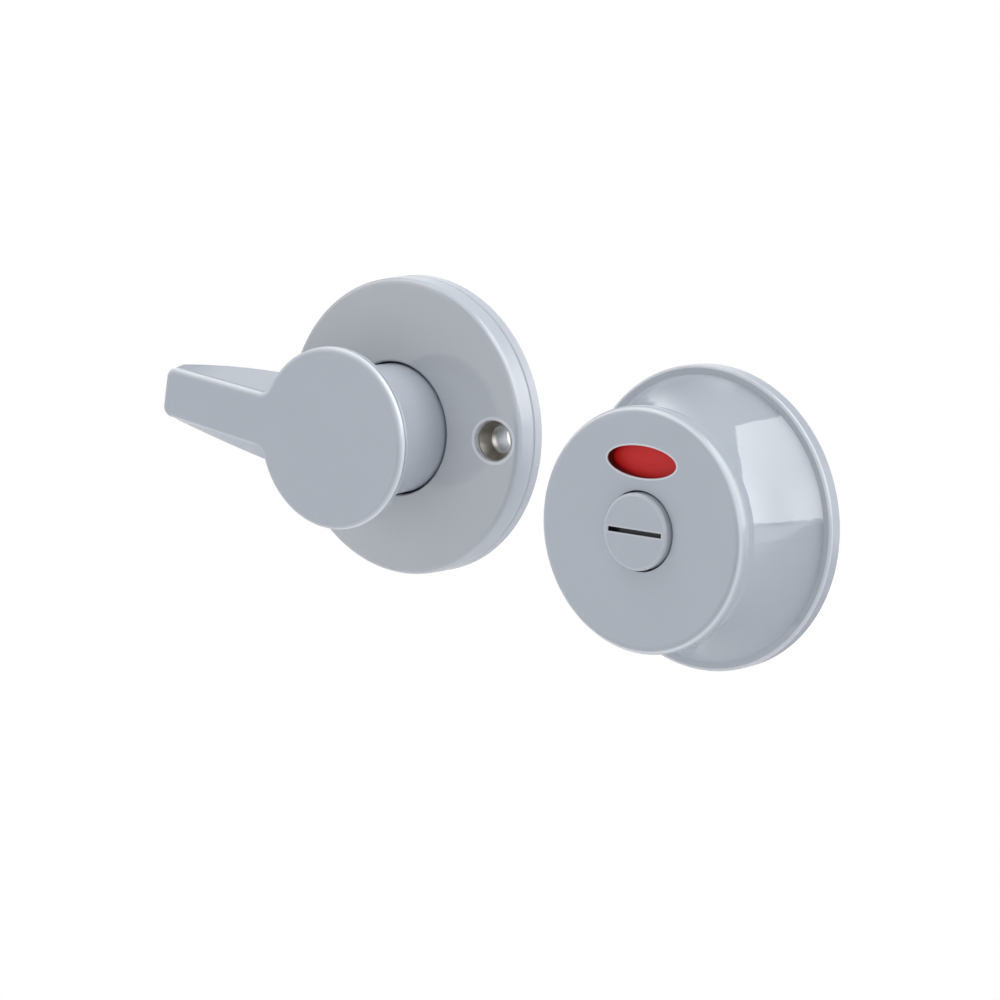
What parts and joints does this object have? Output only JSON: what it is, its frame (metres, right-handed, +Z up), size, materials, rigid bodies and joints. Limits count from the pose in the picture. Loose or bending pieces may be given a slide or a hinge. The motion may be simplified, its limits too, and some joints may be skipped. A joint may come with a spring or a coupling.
{
  "type": "bathroom thumb turn lock",
  "caption": "Two-part bathroom door lock set: a round rose with a lever thumb turn, and a flared round indicator with a red sign window and a coin-slot release.",
  "frame": {"origin": "centre of the turn rose on its back face, which lies on the door", "axes": "+X to the right and +Z up as seen by a person facing the lock, +Y into the door, so both fronts face -Y"},
  "size_m": [0.1222, 0.025, 0.0584],
  "materials": {
    "body_plastic": "semi-gloss moulded nylon",
    "cup_steel": "bright turned",
    "screw_steel": "zinc plated",
    "hub_steel": "turned",
    "plate_steel": "zinc plated sheet",
    "spring_steel": "oiled spring steel",
    "nut_brass": "turned",
    "bush_plastic": "acetal",
    "sign_plastic": "satin"
  },
  "bodies": {
    "roses": {"turn_rose_cover": "body_plastic", "turn_back_plate": "body_plastic", "screw_cups": "cup_steel", "turn_plate_screws": "screw_steel", "turn_bush": "bush_plastic", "indicator_housing": "body_plastic", "indicator_back_plate": "plate_steel", "press_nuts": "nut_brass", "indicator_plate_screws": "screw_steel", "release_bush": "bush_plastic"},
    "turn": {"thumb_turn": "body_plastic", "turn_cap": "body_plastic", "turn_hub": "hub_steel", "turn_disc_spring": "spring_steel", "turn_retaining_ring": "spring_steel"},
    "release": {"release_button": "body_plastic", "sign_disc": "sign_plastic", "release_hub": "hub_steel", "release_disc_spring": "spring_steel", "release_retaining_ring": "spring_steel"}
  },
  "joints": [
    {"name": "thumb_turn_hinge", "type": "hinge", "parent": "roses", "child": "turn", "pos_m": [0, 0, 0], "axis": [0, 1, 0], "range_deg": [-7, 83]},
    {"name": "release_hinge", "type": "hinge", "parent": "roses", "child": "release", "pos_m": [0.0604, 0, -0.00845], "axis": [0, -1, 0], "range_deg": [0, 90]}
  ]
}
